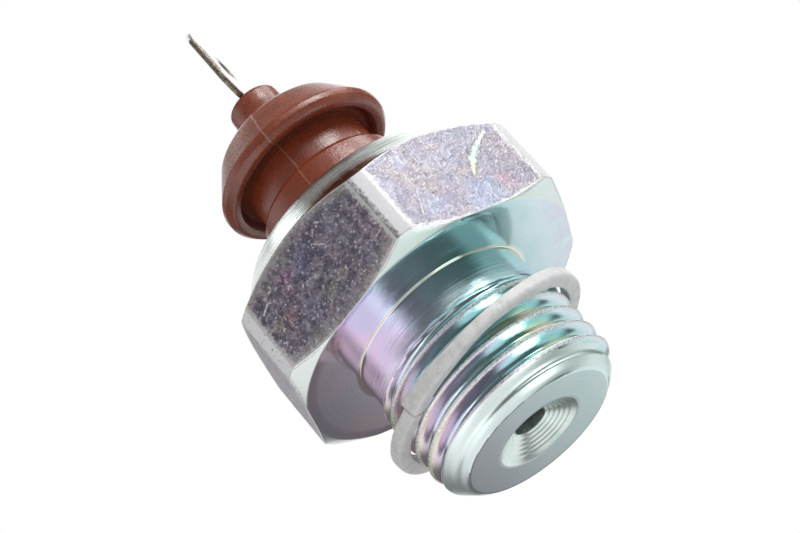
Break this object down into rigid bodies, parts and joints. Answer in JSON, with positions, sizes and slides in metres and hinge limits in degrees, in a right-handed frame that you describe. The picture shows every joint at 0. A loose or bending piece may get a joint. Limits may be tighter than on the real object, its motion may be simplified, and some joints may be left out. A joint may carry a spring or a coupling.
{
  "type": "oil pressure sender",
  "caption": "Screw-in diaphragm pressure switch: steel hexagon body with threaded shank and oil hole, moulded mushroom insulator with a flat blade terminal, loose sealing ring on the thread.",
  "frame": {"origin": "on the axis, at the flat end face of the thread", "axes": "+Z along the axis from the thread's end to the terminal blade; +X through a corner of the hexagon"},
  "size_m": [0.027, 0.024, 0.0447],
  "materials": {
    "zinc_steel": "zinc plated, iridescent passivation",
    "soft_aluminium": "matte",
    "seal_rubber": "matte",
    "film": "glossy film",
    "plain_steel": "pressed",
    "plunger_plastic": "moulded",
    "brass": "turned",
    "silvered_brass": "silver plated",
    "spring_steel": "drawn wire",
    "tinned_brass": "tin plated",
    "red_brown_plastic": "moulded, satin"
  },
  "bodies": {
    "switch_body": {"housing": "zinc_steel", "sealing_ring": "soft_aluminium", "diaphragm_seal": "seal_rubber", "diaphragm": "film", "backing_film": "film", "guide_plate": "plain_steel", "contact_ring": "brass", "contact_spring": "spring_steel", "spring_cup": "brass", "adjusting_screw": "brass", "threaded_bush": "brass", "terminal_blade": "tinned_brass", "insulator": "red_brown_plastic", "insulator_seal": "seal_rubber", "crimp_washer": "plain_steel"},
    "moving_contact": {"pressure_disc": "plain_steel", "plunger": "plunger_plastic", "contact_plate": "silvered_brass"}
  },
  "joints": [
    {"name": "contact_lift", "type": "slide", "parent": "switch_body", "child": "moving_contact", "axis": [0, 0, 1], "range_m": [0, 0.0006], "stiffness_N_per_m": 900, "springref_m": -0.003, "deforming": ["contact_spring"]}
  ]
}
